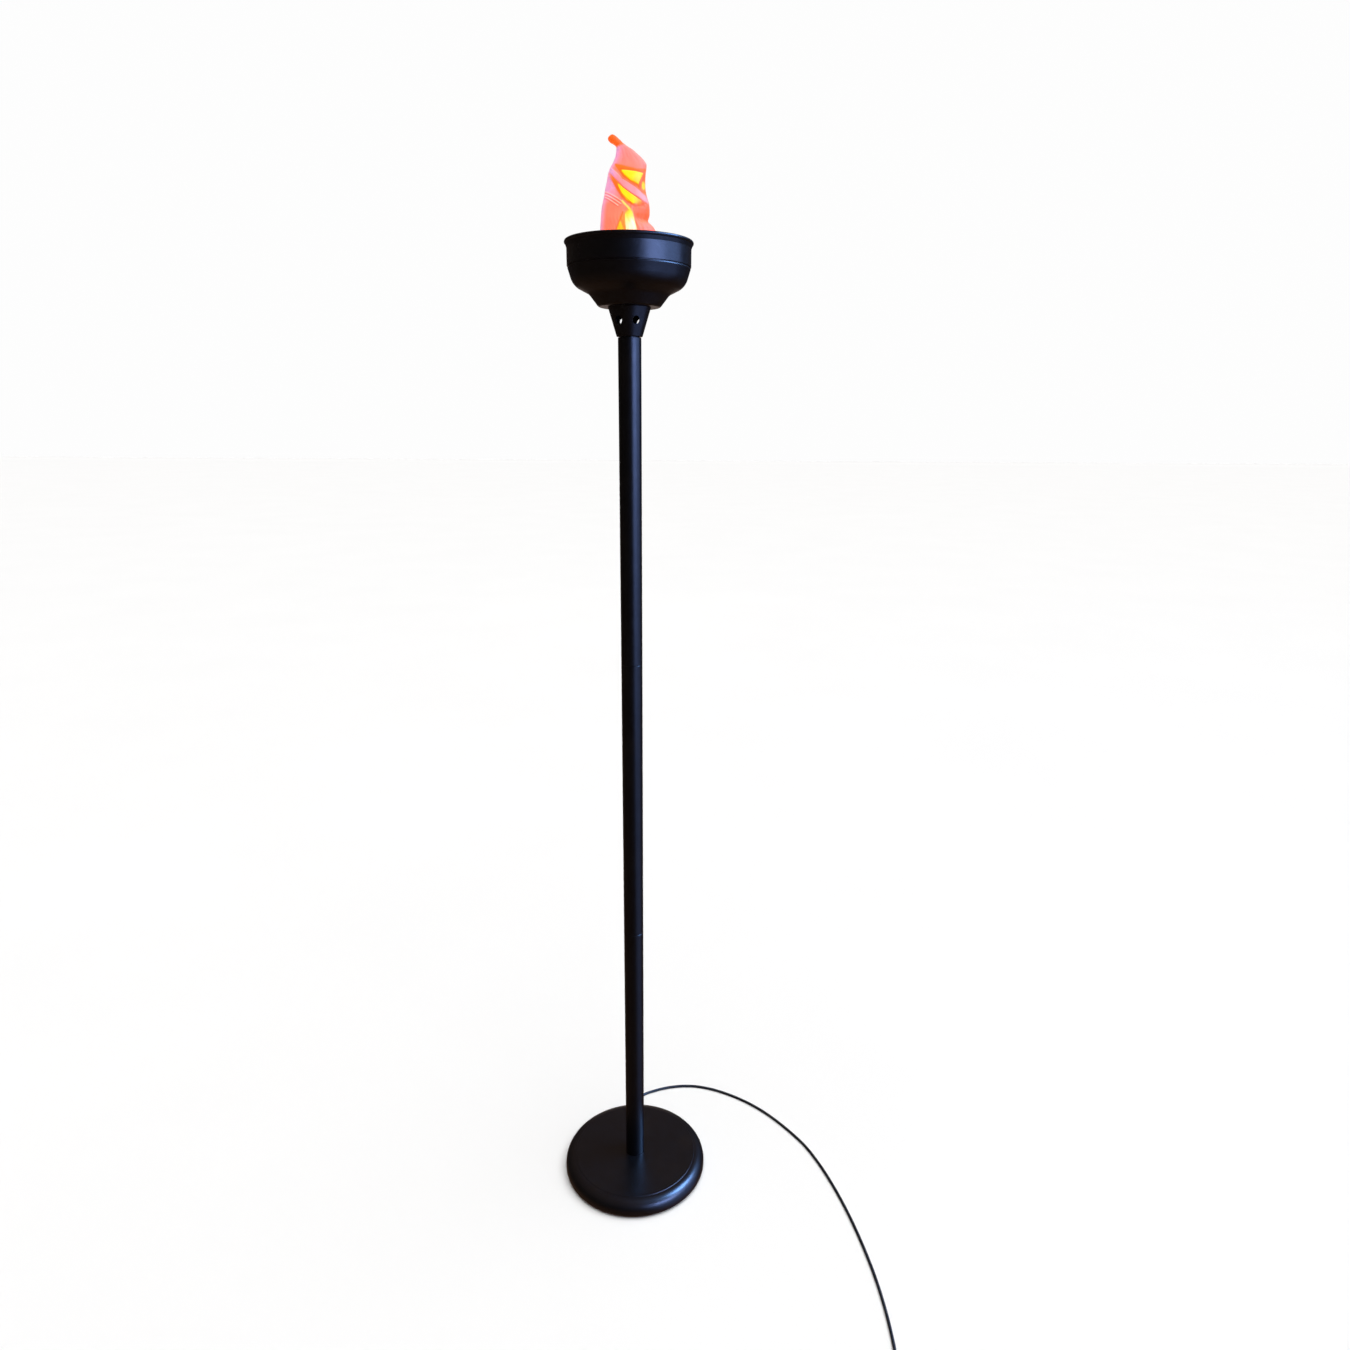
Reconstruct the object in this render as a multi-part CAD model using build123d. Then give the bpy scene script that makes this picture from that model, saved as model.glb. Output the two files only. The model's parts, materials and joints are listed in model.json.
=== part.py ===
from build123d import *
import os
from math import atan2, cos, degrees, hypot, pi, radians, sin, tan

# Floor-standing torch lamp with a silk flame.
#
# A weighted round base carries three screwed-together tubes, a vented neck cone and a
# spun steel bowl.  Inside the bowl a fan and a ring of lights blow and light a silk
# flame.  The mains lead runs up through the tubes and leaves at the back of the base.
#
# Frame: millimetres, +Z up, origin on the floor at the centre of the base, front to -Y.

os.makedirs("parts", exist_ok=True)

# ---------------------------------------------------------------- driving dimensions
# Base
base_radius = 135.0
base_height = 33.0
top_disc_radius = 115.5
base_sheet = 1.2
base_lip_radius = 130.0
pad_thickness = 2.0
weight_radius = 122.0
recess_radius = 18.0
recess_top = 17.0

# Pole
tube_radius = 17.4
tube_wall = 1.2
section_length = 500.0
tube_sink = 12.0
tube_count = 3
joint_chamfer = 0.4
thread_radius = 12.0

# Hollow threaded rod (M10) that carries the lead through the base and the neck
rod_radius = 5.0
rod_bore = 3.2
thread_gap = 0.05
nut_across_flats = 17.0
nut_height = 5.0
washer_thickness = 1.4

# Neck cone
cone_gap = 1.2
cone_foot_radius = 19.1
cone_top_radius = 30.6
cone_height = 40.2
cone_sheet = 1.0
vent_count = 6
vent_radius = 5.5
vent_azimuth = 52.0
vent_height = 21.8

# Bowl
bowl_sheet = 1.0
bowl_wall_radius = 88.7
bowl_foot_radius = 45.4
bowl_seam = 53.4
shoulder_radius = 89.3
seam_gap = 1.0
bowl_shell_height = 74.4
band_radius = 90.2
band_straight = 77.5
bead_centre_radius = 90.8
bead_height = 85.0
bead_radius = 2.6
wire_radius = 1.5
air_hole_circle = 20.0
air_hole_radius = 5.0
air_hole_count = 6

# Rivets that hold the two inner brackets, one pair on each side of the bowl
rivet_azimuth = 39.3
rivet_heights = (62.7, 71.9)
rivet_radius = 1.5
rivet_head_radius = 2.1

# Lamp plate, lights and fan
plate_bottom = 55.9
plate_thickness = 1.2
plate_radius = 84.0
plate_opening = 38.5
bracket_foot = 54.4
bracket_sheet = 1.2
bracket_screw_radius = 77.5
light_circle = 64.0
light_count = 9
socket_azimuth = 31.0
wire_diameter = 1.8
fan_size = 80.0
fan_height = 25.0
fan_hole_spacing = 71.5
fan_duct_radius = 38.2
blade_tip_radius = 36.8
blade_count = 7
hub_radius = 16.5
shaft_radius = 1.5
running_gap = 0.06

# Mains lead
lead_diameter = 5.0
lead_floor = lead_diameter / 2 + 0.1
exit_height = 8.0
exit_azimuth = 2.0
exit_heading = 8.0
exit_bend = 12.0
exit_drop = 6.0
relief_length = 22.0
coil_height = 1.0
coil_inner_radius = 20.0
coil_outer_radius = 35.0
coil_top = 10.4

# ---------------------------------------------------------------- derived heights
foot = base_height - tube_sink
pole_top = foot + tube_count * section_length
cone_bottom = pole_top + cone_gap
bowl_bottom = cone_bottom + cone_height + 0.2
bowl_floor = bowl_bottom + bowl_sheet
plate_top = bowl_bottom + plate_bottom + plate_thickness
fan_top = bowl_bottom + plate_bottom
fan_bottom = fan_top - fan_height
tube_bore = tube_radius - tube_wall
bracket_back = bowl_wall_radius - bowl_sheet - 0.4
bracket_front = bracket_back - bracket_sheet
plug_radius = tube_bore - 0.05

node_names = []


def save(name, shape):
    """Write one sub-part to its STEP file."""
    node_names.append(name)
    export_step(shape, f"parts/{name}.step")


def turned(outline, rounds=()):
    """Solid of revolution about Z from (r, z) corners; rounds lists (corner, radius)."""
    face = make_face(Polyline(*outline, close=True))
    for corner, radius in rounds:
        vertex = face.vertices().sort_by_distance(outline[corner])[0]
        face = fillet(vertex, radius)
    return revolve(Plane.XZ * face, Axis.Z)


def ring(inner, outer, low, high):
    """Plain ring or washer about Z."""
    return turned([(inner, low), (outer, low), (outer, high), (inner, high)])


def post(radius, low, high, x=0.0, y=0.0):
    """Upright round bar."""
    return Pos(x, y, (low + high) / 2) * Cylinder(radius, high - low)


def block(low, high):
    """Box between two corners."""
    size = [b - a for a, b in zip(low, high)]
    middle = [(a + b) / 2 for a, b in zip(low, high)]
    return Pos(*middle) * Box(*size)


def around(shape, count, start=0.0):
    """Copies of a shape turned evenly about Z."""
    return [Rot(0, 0, start + 360 * n / count) * shape for n in range(count)]


def hex_nut(low, high, bore, across=nut_across_flats):
    """Hexagon nut about Z."""
    hexagon = Plane.XY.offset(low) * RegularPolygon(across / 2, 6, major_radius=False)
    return extrude(hexagon, high - low) - post(bore, low - 1, high + 1)


def tube_along(points, radii, diameter):
    """Round tube along straight runs joined by tangent arcs, and its path's length."""
    path = FilletPolyline(*points, radius=radii)
    section = Plane(origin=path @ 0, z_dir=path % 0) * Circle(diameter / 2)
    return sweep(section, path=path), path.length


def run_radii(points):
    """The largest arc each corner has room for."""
    radii = []
    for before, corner, after in zip(points, points[1:], points[2:]):
        first = Vector(*corner) - Vector(*before)
        second = Vector(*after) - Vector(*corner)
        half_turn = radians(first.get_angle(second)) / 2
        radii.append(0.45 * min(first.length, second.length) / tan(half_turn))
    return radii


# ---------------------------------------------------------------- lead exit frame
exit_point = Vector(
    base_radius * sin(radians(exit_azimuth)),
    base_radius * cos(radians(exit_azimuth)),
    exit_height,
)
exit_direction = Vector(
    sin(radians(exit_heading)) * cos(radians(exit_drop)),
    cos(radians(exit_heading)) * cos(radians(exit_drop)),
    -sin(radians(exit_drop)),
)
exit_plane = Plane(origin=exit_point, z_dir=exit_direction)
relief_tip = exit_point + exit_direction * relief_length
inner_corner = exit_point - exit_direction * exit_bend
lead_start = exit_point - exit_direction * 2.0


def base_shell():
    """Spun steel cover: flat top disc, fine step, rounded skirt, hole for the lead."""
    step = 0.6
    lower = base_height - step
    outside = [
        (tube_radius + 0.2, base_height),
        (top_disc_radius, base_height),
        (top_disc_radius + 0.5, lower),
        (base_radius, lower),
        (base_radius, 6.0),
        (base_lip_radius, 1.0),
    ]
    inside = [
        (base_lip_radius - base_sheet, 1.0),
        (base_radius - base_sheet, 6.5),
        (base_radius - base_sheet, lower - base_sheet),
        (tube_radius + 0.2, lower - base_sheet),
    ]
    skirt = 18.4
    rounds = ((1, 0.3), (3, skirt), (4, 6.0), (8, skirt - base_sheet))
    shell = turned(outside + inside, rounds)
    return shell - exit_plane * Cylinder(4.5, 12)


def base_weight():
    """Cast iron disc with a pocket for the pole, a nut recess and a channel for the lead."""
    top = base_height - 0.6 - base_sheet - 0.1
    body = turned(
        [
            (rod_radius + 0.3, recess_top),
            (recess_radius, recess_top),
            (recess_radius, pad_thickness),
            (weight_radius, pad_thickness),
            (weight_radius, 16.0),
            (110.0, top),
            (tube_radius + 0.3, top),
            (tube_radius + 0.3, foot),
            (rod_radius + 0.3, foot),
        ],
        ((3, 2.0), (4, 4.0)),
    )
    channel = block((-4.0, recess_radius - 6, 0), (4.0, base_radius, 12.0))
    heading = degrees(atan2(inner_corner.X, inner_corner.Y))
    return body - Rot(0, 0, -heading) * channel


def tube(low, high):
    """One pole section with a small chamfer at each end, which shows as a joint line."""
    return turned(
        [
            (tube_bore, low),
            (tube_radius - joint_chamfer, low),
            (tube_radius, low + joint_chamfer),
            (tube_radius, high - joint_chamfer),
            (tube_radius - joint_chamfer, high),
            (tube_bore, high),
        ]
    )


def threaded_rod(low, high):
    """Hollow threaded rod, with its thread as a plain cylinder."""
    return ring(rod_bore, rod_radius, low, high)


def joint_plug(height):
    """Steel plug pressed into the tube below, with a threaded spigot that stands up."""
    return turned(
        [
            (6.0, height - 30),
            (plug_radius, height - 30),
            (plug_radius, height - 0.2),
            (thread_radius, height - 0.2),
            (thread_radius, height + 20),
            (6.0, height + 20),
        ],
        ((4, 1.0),),
    )


def joint_socket(height):
    """Threaded bush pressed into the tube above."""
    return ring(thread_radius + thread_gap, plug_radius, height + 0.2, height + 25)


def neck_cone():
    """Drawn cone with a closed foot, round vents and an open top against the bowl."""
    z = cone_bottom
    top = z + cone_height
    outline = [
        (rod_radius + 0.3, z),
        (cone_foot_radius, z),
        (cone_top_radius, top - 3),
        (cone_top_radius + 0.9, top),
        (cone_top_radius - 0.1, top),
        (cone_top_radius - cone_sheet, top - 3),
        (cone_foot_radius - cone_sheet, z + cone_sheet),
        (rod_radius + 0.3, z + cone_sheet),
    ]
    cone = turned(outline, ((1, 1.4), (6, 0.4), (2, 5.0), (5, 5.0)))
    vent = Pos(0, 0, z + vent_height) * Rot(0, 90, 0) * Cylinder(vent_radius, 80)
    for hole in around(vent, vent_count // 2, vent_azimuth):
        cone -= hole
    return cone


def rivet_places():
    """Azimuth and height of each rivet."""
    return [
        (rivet_azimuth + side, bowl_bottom + height)
        for side in (0, 180)
        for height in rivet_heights
    ]


def rivet_holes():
    """Clearance holes for the rivets."""
    hole = Pos(bowl_wall_radius, 0, 0) * Rot(0, 90, 0) * Cylinder(rivet_radius + 0.1, 8)
    holes = [Rot(0, 0, azimuth) * Pos(0, 0, height) * hole for azimuth, height in rivet_places()]
    return holes[0] + holes[1] + holes[2] + holes[3]


def bowl_shell():
    """Spun bowl: flat foot, flared shoulder, rounded belly, and a wall set in for the band."""
    z = bowl_bottom
    line = FilletPolyline(
        (rod_radius + 0.3, z),
        (bowl_foot_radius, z),
        (59.2, z + 17.3),
        (82.2, z + 28.5),
        (shoulder_radius, z + bowl_seam - seam_gap - 1.3),
        (bowl_wall_radius, z + bowl_seam - seam_gap),
        (bowl_wall_radius, z + bowl_shell_height),
        radius=[5.5, 14.0, 24.0, 0.8, 0.6],
    )
    face = make_face(offset(line, amount=bowl_sheet, side=Side.LEFT, closed=True))
    bowl = revolve(Plane.XZ * face, Axis.Z)
    air_hole = post(air_hole_radius, z - 5, z + 5, x=air_hole_circle)
    for hole in around(air_hole, air_hole_count, 30):
        bowl -= hole
    return bowl - rivet_holes()


def bowl_band():
    """Outer band over the bowl's wall, flared into a wired rim."""
    z = bowl_bottom
    band = turned(
        [
            (bowl_wall_radius + 0.1, z + bowl_seam),
            (band_radius, z + bowl_seam),
            (band_radius, z + band_straight),
            (bead_centre_radius + 1.2, z + bead_height - 2.0),
            (bead_centre_radius, z + bead_height),
            (bead_centre_radius - 1.6, z + bead_height - 1.4),
            (bowl_wall_radius + 0.1, z + band_straight),
        ],
        ((1, 0.5),),
    )
    bead_place = Plane.XZ * Pos(bead_centre_radius, z + bead_height)
    bead = revolve(bead_place * Circle(bead_radius), Axis.Z)
    hollow = revolve(bead_place * Circle(wire_radius + 0.1), Axis.Z)
    return band + bead - hollow - rivet_holes()


def rim_wire():
    """Round wire inside the rim's curl."""
    section = Pos(bead_centre_radius, bowl_bottom + bead_height) * Circle(wire_radius)
    return revolve(Plane.XZ * section, Axis.Z)


def rivets():
    """Domed rivets through band, bowl and bracket."""
    solids = []
    for azimuth, height in rivet_places():
        outline = [
            (0, bracket_front - 0.9),
            (2.4, bracket_front - 0.9),
            (2.4, bracket_front),
            (rivet_radius, bracket_front),
            (rivet_radius, band_radius),
            (rivet_head_radius, band_radius),
            (1.3, band_radius + 1.0),
            (0, band_radius + 1.0),
        ]
        rivet = Rot(0, 90, 0) * turned(outline)
        solids.append(Rot(0, 0, azimuth) * Pos(0, 0, height) * rivet)
    return Compound(children=solids)


def bracket(azimuth):
    """Bent strip riveted inside the bowl, with a foot under the lamp plate."""
    z = bowl_bottom
    tab = block((bracket_front, -8, z + bracket_foot), (bracket_back, 8, z + 76.0))
    sole = block((70.0, -8, z + bracket_foot), (bracket_back, 8, z + plate_bottom))
    strip = tab + sole
    for height in rivet_heights:
        strip -= Pos(bracket_back, 0, z + height) * Rot(0, 90, 0) * Cylinder(rivet_radius + 0.1, 6)
    strip -= post(2.2, z + 50, z + 60, x=bracket_screw_radius)
    return Rot(0, 0, azimuth) * strip


def lamp_plate():
    """Plate across the bowl with the air opening and the screw holes."""
    z = bowl_bottom + plate_bottom
    plate = ring(plate_opening, plate_radius, z, plate_top)
    for x, y in fan_corners():
        plate -= post(2.2, z - 1, z + 3, x, y)
    for hole in around(post(2.2, z - 1, z + 3, x=bracket_screw_radius), 2, rivet_azimuth):
        plate -= hole
    return plate - post(3.0, z - 1, z + 3, 45.0, 27.0)


def fan_corners():
    """Centres of the fan's four screw holes."""
    half = fan_hole_spacing / 2
    return [(x, y) for x in (-half, half) for y in (-half, half)]


def screw(length, top, x, y, head_below=False):
    """Pan head M4 screw; top is the height under the head."""
    sign = -1 if head_below else 1
    shank_end = top - sign * length
    head_end = top + sign * 2.4
    shank = post(2.0, min(top, shank_end), max(top, shank_end), x, y)
    head = post(3.9, min(top, head_end), max(top, head_end), x, y)
    edge = head.edges().filter_by(GeomType.CIRCLE).sort_by(Axis.Z)[-1 if sign > 0 else 0]
    return shank + fillet(edge, 1.2)


def plate_screws():
    """Two screws that fix the lamp plate to the brackets."""
    fixing = screw(9, plate_top, bracket_screw_radius, 0)
    return Compound(children=around(fixing, 2, rivet_azimuth))


def fan_frame():
    """Square frame with a round duct, corner flanges, struts and a bearing tube."""
    flange = 4.0
    z = fan_bottom
    body = Pos(0, 0, z + fan_height / 2) * Box(fan_size, fan_size, fan_height)
    body = fillet(body.edges().filter_by(Axis.Z), 5.0)
    waist = block((-60, -60, z + flange), (60, 60, z + fan_height - flange))
    body -= waist - post(fan_duct_radius + 2.2, z, z + fan_height)
    body -= post(fan_duct_radius, z - 1, z + fan_height + 1)
    for x, y in fan_corners():
        body -= post(2.15, z - 1, z + fan_height + 1, x, y)
    body += post(16.0, z, z + 3)
    strut = block((14.0, -1.5, z), (fan_duct_radius + 1, 1.5, z + 3))
    for arm in around(strut, 4, 45):
        body += arm
    return body + ring(3.5, 5.0, z + 2, z + 15) - post(3.5, z + 1, z + 15)


def fan_bearing():
    """Sleeve bearing in the frame's tube."""
    return ring(shaft_radius + running_gap, 3.45, fan_bottom + 1.3, fan_bottom + 14.5)


def fan_shaft():
    """Steel shaft pressed into the rotor's hub."""
    return post(shaft_radius, fan_bottom + 1.4, fan_bottom + 21.0)


def fan_rotor():
    """Hub cup with pitched blades."""
    z = fan_bottom
    middle = z + 14.5
    cup = turned(
        [
            (shaft_radius, z + 17.0),
            (3.2, z + 17.0),
            (3.2, z + 21.0),
            (hub_radius - 1.5, z + 21.0),
            (hub_radius - 1.5, z + 6.0),
            (hub_radius, z + 6.0),
            (hub_radius, z + 22.5),
            (shaft_radius, z + 22.5),
        ],
        ((6, 1.2),),
    )
    cup += post(shaft_radius + 0.5, z + 21.0, z + 22.5)
    blades = []
    for radius, pitch in ((hub_radius - 0.9, 48.0), (40.0, 30.0)):
        plane = Plane(
            origin=(radius, 0, middle),
            x_dir=(0, cos(radians(pitch)), sin(radians(pitch))),
            z_dir=(1, 0, 0),
        )
        blades.append(plane * Rectangle(19.0, 1.4))
    blade = loft(blades) & ring(hub_radius - 0.8, blade_tip_radius, z + 5.0, z + 23.5)
    for each in around(blade, blade_count):
        cup += each
    return cup


def fan_magnet():
    """Ring magnet inside the hub."""
    return ring(13.2, hub_radius - 1.55, fan_bottom + 6.5, fan_bottom + 16.0)


def fan_stator():
    """Four-pole laminated core on the bearing tube."""
    low = fan_bottom + 7.5
    high = fan_bottom + 13.5
    core = ring(5.1, 7.0, low, high)
    arm = block((6.0, -1.3, low), (11.5, 1.3, high))
    shoe = ring(11.0, 12.4, low, high) & block((5.0, -7.0, low), (14.0, 7.0, high))
    for pole in around(arm + shoe, 4, 45):
        core += pole
    return core


def fan_windings():
    """Copper coils on the four poles."""
    low = fan_bottom + 6.6
    high = fan_bottom + 14.4
    coil = block((7.4, -2.8, low), (10.4, 2.8, high))
    coil -= block((6.0, -1.4, low + 0.8), (12.0, 1.4, high - 0.8))
    return Compound(children=around(coil, 4, 45))


def fan_board():
    """Small round driver board under the stator."""
    return ring(5.1, 13.0, fan_bottom + 4.2, fan_bottom + 5.4)


def finger_guard():
    """Wire guard under the fan: three rings, four spokes and four screw eyes."""
    wire = 0.9
    z = fan_bottom - wire
    guard = None
    for radius in (10.0, 20.0, 30.0):
        hoop = Pos(0, 0, z - 1.2) * Torus(radius, wire)
        guard = hoop if guard is None else guard + hoop
    eye_distance = hypot(fan_hole_spacing / 2, fan_hole_spacing / 2)
    spoke = Pos((8.5 + eye_distance - 3.2) / 2, 0, z) * Rot(0, 90, 0) * Cylinder(
        wire, eye_distance - 3.2 - 8.5
    )
    eye = Pos(eye_distance, 0, z) * Torus(3.4, wire)
    for arm in around(spoke + eye, 4, 45):
        guard += arm
    return guard


def fan_screws():
    """Four long screws with their heads under the guard's eyes."""
    under = fan_bottom - 1.8
    return Compound(children=[screw(33, under, x, y, True) for x, y in fan_corners()])


def small_nuts():
    """M4 nuts: four on the lamp plate for the fan, two under the bracket feet."""
    upper = hex_nut(plate_top, plate_top + 3.0, 2.05, 7.0)
    high = bowl_bottom + bracket_foot
    lower = Pos(bracket_screw_radius, 0, 0) * hex_nut(high - 3.0, high, 2.05, 7.0)
    nuts = [Pos(x, y, 0) * upper for x, y in fan_corners()]
    return Compound(children=nuts + around(lower, 2, rivet_azimuth))


def light_board():
    """Ring-shaped circuit board with the socket of its lead."""
    board = ring(56.0, 73.0, plate_top, plate_top + 1.6)
    socket = block((57.0, -3.0, plate_top + 1.0), (61.0, 3.0, plate_top + 5.0))
    return board + Rot(0, 0, socket_azimuth) * socket


def lights():
    """Square light emitters on the board."""
    low = plate_top + 1.6
    chip = block((light_circle - 2.5, -2.5, low), (light_circle + 2.5, 2.5, low + 1.2))
    return Compound(children=around(chip, light_count, 10))


def light_lenses():
    """Clear domes over the emitters."""
    low = plate_top + 1.6
    dome = turned([(0, 0), (5.0, 0), (5.0, 2.0), (2.6, 5.0), (0, 5.6)], ((2, 1.5), (3, 1.5)))
    dome -= block((-2.7, -2.7, -1), (2.7, 2.7, 1.4))
    lens = Pos(light_circle, 0, low) * dome
    return Compound(children=around(lens, light_count, 10))


def silk_ring():
    """Flanged collar that the silk's hem is drawn over."""
    z = plate_top
    return turned(
        [
            (39.0, z),
            (44.0, z),
            (44.0, z + 1.4),
            (40.4, z + 1.4),
            (40.4, z + 9.4),
            (39.0, z + 9.4),
        ]
    )


def silk_clamp():
    """Strap that holds the hem against the collar."""
    z = plate_top
    strap = ring(41.0, 42.0, z + 3.2, z + 7.2)
    return strap + block((41.4, -3.0, z + 2.6), (45.0, 3.0, z + 7.8))


def silk_flame():
    """Plain solid that the silk flame fills: (height, centre x, half width, half depth)."""
    stations = (
        (9.6, 0.0, 40.6, 40.6),
        (43.0, -1.5, 38.5, 34.0),
        (77.0, -4.5, 33.0, 25.0),
        (119.0, -3.0, 26.0, 16.0),
        (136.0, -8.5, 16.5, 10.0),
        (149.0, -14.0, 9.0, 6.0),
        (163.6, -23.0, 4.0, 4.0),
    )
    sections = [
        Plane.XY.offset(plate_top + height) * Pos(x, 0) * Ellipse(width, depth)
        for height, x, width, depth in stations
    ]
    return loft(sections, ruled=True)


def driver_case():
    """Open-topped box of the power supply."""
    case = block((-26, 17, bowl_floor + 2), (26, 37, bowl_floor + 20))
    case = fillet(case.edges().filter_by(Axis.Z), 3.0)
    case -= block((-24.2, 18.8, bowl_floor + 4), (24.2, 35.2, bowl_floor + 21))
    for side in (-1, 1):
        case += post(3.0, bowl_floor, bowl_floor + 2.5, side * 20.0, 27.0)
    return case


def driver_lid():
    """Snap lid of the power supply."""
    lid = block((-26, 17, bowl_floor + 20.1), (26, 37, bowl_floor + 22.0))
    lid = fillet(lid.edges().filter_by(Axis.Z), 3.0)
    return lid + block((-24.0, 19.0, bowl_floor + 18), (24.0, 35.0, bowl_floor + 20.1))


def driver_board():
    """Circuit board with its transformer and capacitor."""
    z = bowl_floor + 5.2
    board = block((-23.5, 19.2, z), (23.5, 34.8, z + 1.2))
    board += block((-14, 21, z + 1.2), (0, 33, z + 11))
    return board + post(4.5, z + 1.2, z + 11, 14, 27)


def terminal_block():
    """Three-way terminal block on a plinth."""
    low = bowl_floor
    body = block((-10, -37, low), (10, -29, low + 13))
    head = block((-14, -40, low + 12.4), (14, -26, low + 24.4))
    block_body = body + head
    for x in (-9, 0, 9):
        block_body -= post(2.2, low + 20, low + 26, x, -33)
    return block_body


def terminal_screws():
    """Clamp screws in the terminal block."""
    low = bowl_floor + 20.0
    return Compound(children=[post(2.1, low, low + 3.0, x, -33) for x in (-9, 0, 9)])


def inner_lead():
    """Lead held inside the object, from the skirt's hole to the terminal block."""
    height = bowl_floor + 18.4
    points = [
        (0, -26, height),
        (0, 0, height),
        (0, 0, 6.4),
        tuple(inner_corner),
        tuple(lead_start),
    ]
    return tube_along(points, [9.0, 5.6, 18.0], lead_diameter)


def link_wires():
    """Two short wires from the terminal block to the power supply."""
    z = bowl_floor + 16.4
    solids = []
    for side in (-1, 1):
        points = [
            (side * 9, -25.5, z),
            (side * 14, -12, z),
            (side * 14, 5, z),
            (side * 9, 16.5, z),
        ]
        solids.append(tube_along(points, [8.0, 8.0], wire_diameter)[0])
    return Compound(children=solids)


def lamp_wires():
    """Wires from the power supply to the fan, and up through the plate to the lights."""
    z = bowl_floor + 13.4
    high = plate_top + 3.2
    heading = radians(socket_azimuth)
    socket = (57.0 * cos(heading), 57.0 * sin(heading), high)
    to_fan = [(-26, 27, z), (-45, 27, z), (-45, 27, z + 27), (-30.9, 27, z + 27)]
    to_lights = [(26, 27, z), (45, 27, z), (45, 27, high), socket]
    return Compound(
        children=[
            tube_along(to_fan, [6.0, 6.0], wire_diameter)[0],
            tube_along(to_lights, [6.0, 1.2], wire_diameter)[0],
        ]
    )


def strain_relief():
    """Tapered rubber sleeve held in the skirt's hole."""
    bore = lead_diameter / 2 + 0.1
    sleeve = turned(
        [
            (bore, -7.5),
            (6.3, -7.5),
            (6.3, -5.2),
            (4.2, -5.2),
            (4.2, 3.2),
            (5.2, 3.2),
            (5.2, 5.2),
            (3.5, relief_length),
            (bore, relief_length),
        ],
        ((5, 0.8), (7, 0.5)),
    )
    return exit_plane * sleeve


# ---------------------------------------------------------------- lead on the floor
lead_points = [
    tuple(lead_start),
    tuple(relief_tip + exit_direction * 12),
    (13.5, 180.0, lead_floor + 0.5),
    (22.5, 190.0, lead_floor),
    (38.5, 196.5, lead_floor),
    (57.5, 203.5, lead_floor),
    (81.0, 209.0, lead_floor),
    (109.0, 211.5, lead_floor),
    (141.0, 208.0, lead_floor),
    (176.0, 196.0, lead_floor),
    (212.0, 176.5, lead_floor),
    (247.0, 151.0, lead_floor),
    (276.0, 123.5, lead_floor),
    (300.0, 94.5, lead_floor),
    (324.0, 61.0, lead_floor),
    (345.0, 27.0, lead_floor),
    (362.0, -15.0, lead_floor),
    (376.5, -62.0, lead_floor),
    (389.0, -113.0, lead_floor),
    (399.0, -167.0, lead_floor),
    (406.5, -223.0, lead_floor),
    (411.5, -281.0, lead_floor),
    (412.5, -340.0, lead_floor),
    (409.5, -398.0, lead_floor + 0.4),
    (404.0, -446.0, lead_floor + 0.9),
]
coil_centre = (436.5, -452.0)
plug_height = 7.0
plug_lead_offsets = [
    (-26.5, -14.0, 7.4),
    (-20.0, -33.0, 6.2),
    (-6.0, -48.0, 3.4),
    (13.0, -56.0, 3.2),
    (31.0, -57.5, plug_height),
    (46.0, -57.5, plug_height),
]
plug_lead_points = [(coil_centre[0] + x, coil_centre[1] + y, z) for x, y, z in plug_lead_offsets]


def lead_coil():
    """Outer shape of the tied coil."""
    coil = turned(
        [
            (coil_inner_radius, coil_height),
            (coil_outer_radius, coil_height),
            (coil_outer_radius, coil_top),
            (coil_inner_radius, coil_top),
        ],
        ((0, 2.4), (1, 2.4), (2, 2.4), (3, 2.4)),
    )
    return Pos(*coil_centre, 0) * coil


def coil_tie():
    """Strap round the coil's bundle of turns."""
    low = (coil_inner_radius - 1.6, -4.0, 0.0)
    high = (coil_outer_radius + 1.2, 4.0, coil_top + 1.0)
    strap = block(low, high)
    strap = fillet(strap.edges().filter_by(Axis.Y), 2.4)
    hole = block((low[0] + 1, -5, 0.9), (high[0] - 1, 5, coil_top + 0.1))
    return Pos(*coil_centre, 0) * Rot(0, 0, 20) * (strap - hole)


def plug_place():
    """Frame at the plug's cord entry: X along the plug, towards its pins."""
    x, y, z = plug_lead_points[-1]
    return Pos(x, y, z)


def plug_body():
    """Flat two-pin plug body with a short neck."""
    half_outline = [(10, 5.5), (18, 7.5), (34, 17), (46, 17)]
    other_half = [(x, -y) for x, y in reversed(half_outline)]
    outline = make_face(Polyline(*half_outline, *other_half, close=True))
    outline = fillet(outline.vertices().filter_by(lambda v: v.X > 15), 4.0)
    body = Pos(0, 0, -6.8) * extrude(outline, 13.6)
    flat_edges = body.faces().filter_by(Axis.Z).edges()
    body = fillet(flat_edges, 2.0)
    neck = Rot(0, 90, 0) * Pos(0, 0, 6) * Cone(3.4, 4.8, 12)
    return plug_place() * (body + neck)


def plug_pins():
    """Two round pins."""
    pin = Pos(55.4, 0, 0) * Rot(0, 90, 0) * Cylinder(2.0, 18.8)
    pin = fillet(pin.edges().filter_by(GeomType.CIRCLE).sort_by(Axis.X)[-1], 1.4)
    return plug_place() * Compound(children=[Pos(0, y, 0) * pin for y in (-9.3, 9.3)])


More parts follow.
